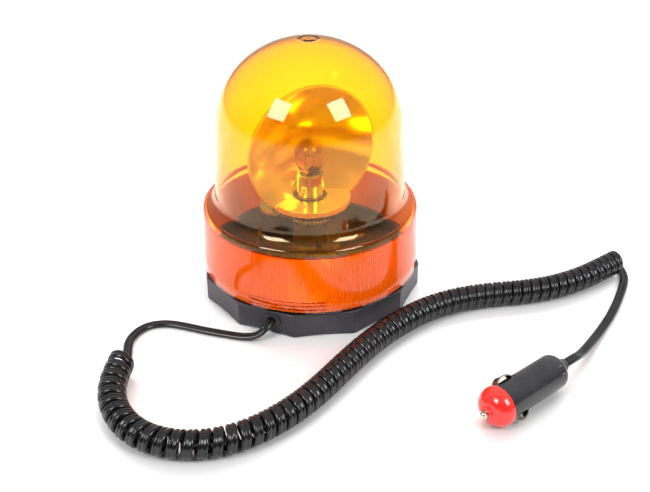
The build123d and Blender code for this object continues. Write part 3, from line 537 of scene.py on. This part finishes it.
def metal(name, colour, rough, streak=(1.0, 1.0, 12.0), grain_scale=400.0, grain=0.00001,
          metallic=1.0):
    """Plated or turned metal with fine tool streaks and handling marks."""
    look = Nodes(name)
    marks = look.noise(grain_scale, 3.0, streak)
    dark = mixed(colour, (0, 0, 0), 0.18)
    look.link(look.clouds(look.noise(50.0, 3.0), dark, colour), look.shader.inputs["Base Color"])
    look.link(look.span(marks, rough * 0.6, rough * 1.4), look.shader.inputs["Roughness"])
    look.set(Metallic=metallic)
    look.bump(marks, grain, 0.3)
    return look.material


def glass(name, colour):
    """Glass, a little uneven; a warm colour given to it is a painted tint that stands for the light
    round the glass.
    """
    look = Nodes(name)
    look.set(Base_Color=(*colour, 1.0), Transmission_Weight=1.0, Roughness=0.0, IOR=1.45)
    look.bump(look.noise(120.0, 2.0), 0.00002, 0.3)
    lamps_through(look, colour)
    return look.material


SLOTS = {
    "black_plastic": moulded("black_plastic", (0.020, 0.020, 0.027), 0.40, 900.0, 0.00006),
    "inner_plastic": moulded("inner_plastic", (0.075, 0.060, 0.050), 0.32),
    "black_rubber": moulded("black_rubber", (0.020, 0.020, 0.021), 0.55, 500.0, 0.00008),
    "white_plastic": moulded("white_plastic", (0.78, 0.75, 0.68), 0.35, shade=0.06),
    "plug_black": moulded("plug_black", (0.005, 0.005, 0.007), 0.20, 500.0, 0.00001),
    "red_plastic": moulded("red_plastic", (0.85, 0.018, 0.012), 0.16, 300.0, 0.00001, 0.12, 0.4),
    "red_wire": moulded("red_wire", (0.60, 0.02, 0.02), 0.35),
    "black_wire": moulded("black_wire", (0.020, 0.020, 0.020), 0.35),
    "ferrite": moulded("ferrite", (0.055, 0.055, 0.058), 0.60, 300.0, 0.00010),
    "screw_steel": metal("screw_steel", (0.62, 0.61, 0.60), 0.28),
    "plated_steel": metal("plated_steel", (0.66, 0.66, 0.68), 0.30),
    "brass": metal("brass", (0.80, 0.60, 0.28), 0.26),
    "chrome": metal("chrome", (0.88, 0.88, 0.90), 0.11, (1.0, 1.0, 1.0), 90.0, 0.00002),
    "nickel": metal("nickel", (0.80, 0.74, 0.64), 0.16),
    "solder": metal("solder", (0.60, 0.60, 0.60), 0.40, (1.0, 1.0, 1.0)),
    "tungsten": metal("tungsten", (0.30, 0.30, 0.31), 0.35, (1.0, 1.0, 1.0), 900.0),
    "clear_glass": glass("clear_glass", (0.98, 0.99, 0.985)),
    "dark_steel": metal("dark_steel", (0.10, 0.09, 0.085), 0.42, (1.0, 1.0, 3.0)),
    "cord_pvc": CORD,
}


HUB_R = 13.0                                    # millimetres; inside this radius the gear's hub is painted pale, a painted reflection
COLOUR_A, COLOUR_B, COLOUR_OUT = 6, 7, 2        # the Mix node's colour sockets, by position


def gear_painted_hub_reflection():
    """Black plastic gear whose hub is painted pale, a painted reflection."""
    look = Nodes("gear_painted_hub_reflection")
    hub = look.math("LESS_THAN", look.radius(), HUB_R * MM)
    cloud = look.noise(60.0, 3.0)
    rim = look.clouds(cloud, (0.030, 0.028, 0.026), (0.042, 0.038, 0.034))
    # painted reflection: the hub is drawn pale though the whole gear is black plastic
    painted_reflection = look.clouds(cloud, (0.40, 0.36, 0.32), (0.48, 0.44, 0.40))
    mix = look.add("ShaderNodeMix", data_type="RGBA")
    look.link(hub, mix.inputs["Factor"])
    look.link(rim, mix.inputs[COLOUR_A])
    look.link(painted_reflection, mix.inputs[COLOUR_B])
    look.link(mix.outputs[COLOUR_OUT], look.shader.inputs["Base Color"])
    look.link(look.span(look.noise(600.0, 3.0), 0.25, 0.38), look.shader.inputs["Roughness"])
    return look.material


PIECES = {
    # painted light: the bulb's warm tint paints in the orange light of the lens and bowl round it; the
    # bulb glass itself is clear
    "bulb_glass": glass("glass_painted_amber_light", (1.0, 0.80, 0.60)),
    "gear_wheel": gear_painted_hub_reflection(),
    # painted light: the bowl's warm colour and the diffuse share left by metallic 0.7 paint the lens's
    # amber light onto plain chrome
    "reflector": metal("bowl_chrome_painted_amber", (1.0, 0.88, 0.60), 0.13, (1.0, 1.0, 1.0), 90.0, 0.00002, 0.7),
}


def finish_cad_pieces():
    """Each CAD piece gets its own material or its slot's. The replaced lens keeps what it has."""
    slot_of = {entry["node"]: entry["material_slot"] for entry in frame["record"]["subparts"]}
    for name, obj in nodes.items():
        for entry in obj.material_slots:
            entry.material = PIECES.get(name) or SLOTS.get(slot_of[name]) or entry.material


finish_cad_pieces()


# ---------------------------------------------------------------- hidden springs


def squash_springs():
    """Gives the socket's and the plug's springs each their own copy of their mesh."""
    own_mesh(nodes["socket_spring"])
    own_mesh(nodes["plug_spring"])


squash_springs()


# ---------------------------------------------------------------- stage

FLOOR_HALF, FLOOR_DROP = 6.0, 0.0002    # metres; the drop keeps it clear of the object's underside


def make_stage():
    """A light grey paper floor."""
    look = Nodes("paper_floor")
    grey = look.clouds(look.noise(3.0), (0.63, 0.63, 0.63), (0.65, 0.65, 0.65))
    look.link(grey, look.shader.inputs["Base Color"])
    look.set(Roughness=0.55, Specular_IOR_Level=0.3)
    corners = [(x * FLOOR_HALF, y * FLOOR_HALF, 0) for x, y in ((-1, -1), (1, -1), (1, 1), (-1, 1))]
    floor = bpy.data.objects.new("floor", mesh_of("floor", corners, [(0, 1, 2, 3)]))
    floor.data.materials.append(look.material)
    floor.location.z = -FLOOR_DROP
    bpy.context.scene.collection.objects.link(floor)


def softbox(name, place, target, width, height, power, mirrored=True):
    """A rectangular lamp in metres and watts; mirrored=False keeps it out of reflections."""
    data = bpy.data.lights.new(name, "AREA")
    data.shape = "RECTANGLE"
    data.size, data.size_y = width, height
    data.energy = power
    light = bpy.data.objects.new(name, data)
    light.location = place
    light.visible_glossy = light.visible_transmission = mirrored
    light.rotation_euler = (Vector(target) - Vector(place)).to_track_quat("-Z", "Y").to_euler()
    bpy.context.scene.collection.objects.link(light)


WORLD_DIM, WORLD_BRIGHT, BRIGHT_SIDE = 0.06, 0.6, (0.0, 0.8, 0.6)


def make_world():
    """A white studio, bright behind and above the object and dim round the camera."""
    world = bpy.data.worlds.new("studio")
    world.use_nodes = True
    tree = world.node_tree
    background = tree.nodes["Background"]
    background.inputs["Color"].default_value = (1.0, 1.0, 1.0, 1.0)
    direction = tree.nodes.new("ShaderNodeTexCoord").outputs["Generated"]
    facing = tree.nodes.new("ShaderNodeVectorMath")
    facing.operation = "DOT_PRODUCT"
    facing.inputs[1].default_value = BRIGHT_SIDE
    spread = tree.nodes.new("ShaderNodeMapRange")
    spread.interpolation_type = "SMOOTHSTEP"
    settings = (("From Min", -0.5), ("From Max", 0.7), ("To Min", WORLD_DIM), ("To Max", WORLD_BRIGHT))
    for key, value in settings:
        spread.inputs[key].default_value = value
    tree.links.new(direction, facing.inputs[0])
    tree.links.new(facing.outputs["Value"], spread.inputs["Value"])
    tree.links.new(spread.outputs["Result"], background.inputs["Strength"])
    bpy.context.scene.world = world


def make_lights():
    make_world()
    bpy.context.scene.view_settings.view_transform = "Standard"
    softbox("softbox_left", (-0.75, -0.75, 0.95), (0, 0, 0.06), 0.5, 0.6, 12.0)
    softbox("softbox_right", (0.75, -0.75, 0.95), (0, 0, 0.06), 0.5, 0.6, 12.0)
    softbox("overhead", (0.0, 0.4, 1.7), (0, 0, 0), 2.0, 2.0, 15.0, mirrored=False)
    softbox("backdrop", (0.0, 0.75, 0.75), (0, 0.45, 0), 2.2, 0.6, 31.0, mirrored=False)


make_stage()
make_lights()
